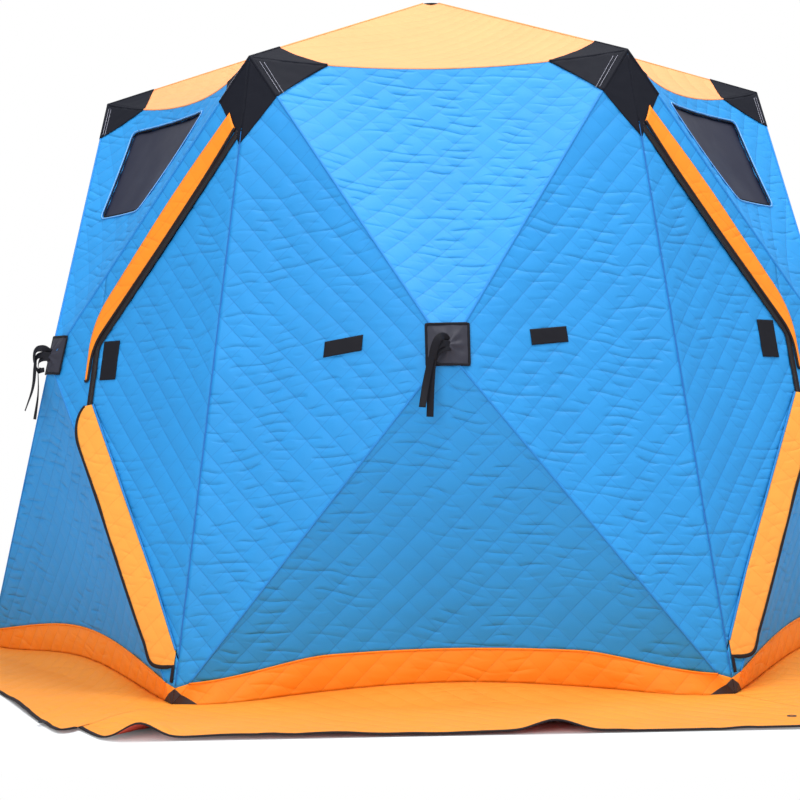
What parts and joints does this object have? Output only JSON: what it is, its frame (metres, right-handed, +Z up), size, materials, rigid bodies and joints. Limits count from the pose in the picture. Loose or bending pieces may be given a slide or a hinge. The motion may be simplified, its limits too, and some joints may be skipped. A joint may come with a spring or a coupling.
{
  "type": "pop-up ice fishing tent",
  "caption": "Pop-up ice fishing tent with hexagonal plan, quilted walls over hub-sprung poles, zipped corner doors, windows, pyramid roof and snow skirts.",
  "frame": {"origin": "on the ground, under the roof hub", "axes": "+Z up, -Y towards the front wall, +X to the right of someone facing it"},
  "size_m": [3.5236, 3.0516, 1.8214],
  "materials": {
    "quilted_blue": "quilted woven, satin",
    "window_film": "dark film, slight sheen",
    "orange_fabric": "woven, satin",
    "black_fabric": "heavy woven, matte",
    "webbing": "ribbed webbing",
    "pole_rod": "drawn glass-fibre rod",
    "hub_plastic": "moulded"
  },
  "bodies": {
    "shelter": {"front_wall": "quilted_blue", "front_left_wall": "quilted_blue", "front_right_wall": "quilted_blue", "back_wall": "quilted_blue", "back_left_wall": "quilted_blue", "back_right_wall": "quilted_blue", "corner_seams": "quilted_blue", "left_window": "window_film", "right_window": "window_film", "left_door_upper_flap": "orange_fabric", "right_door_upper_flap": "orange_fabric", "front_base_band": "orange_fabric", "front_left_base_band": "orange_fabric", "front_right_base_band": "orange_fabric", "back_base_band": "orange_fabric", "back_left_base_band": "orange_fabric", "back_right_base_band": "orange_fabric", "front_skirt": "orange_fabric", "front_left_skirt": "orange_fabric", "front_right_skirt": "orange_fabric", "back_skirt": "orange_fabric", "back_left_skirt": "orange_fabric", "back_right_skirt": "orange_fabric", "roof": "orange_fabric", "corner_caps": "black_fabric", "hub_patches": "black_fabric", "roof_patch": "black_fabric", "side_patches": "black_fabric", "foot_patches": "black_fabric", "pull_straps": "webbing", "front_poles": "pole_rod", "front_left_poles": "pole_rod", "front_right_poles": "pole_rod", "back_poles": "pole_rod", "back_left_poles": "pole_rod", "back_right_poles": "pole_rod", "roof_poles": "pole_rod", "wall_hubs": "hub_plastic", "roof_hub": "hub_plastic", "corner_joints": "hub_plastic"},
    "left_door": {"left_door": "quilted_blue", "left_door_lower_flap": "orange_fabric", "left_door_patch": "black_fabric"},
    "right_door": {"right_door": "quilted_blue", "right_door_lower_flap": "orange_fabric", "right_door_patch": "black_fabric"}
  },
  "joints": [
    {"name": "left_door_hinge", "type": "hinge", "parent": "shelter", "child": "left_door", "pos_m": [-0.55564, -0.9624, 0.78183], "axis": [0.1164, 0.2016, 0.9725], "range_deg": [0, 120]},
    {"name": "right_door_hinge", "type": "hinge", "parent": "shelter", "child": "right_door", "pos_m": [0.55564, -0.9624, 0.78183], "axis": [0.1164, -0.2016, -0.9725], "range_deg": [0, 120]}
  ]
}
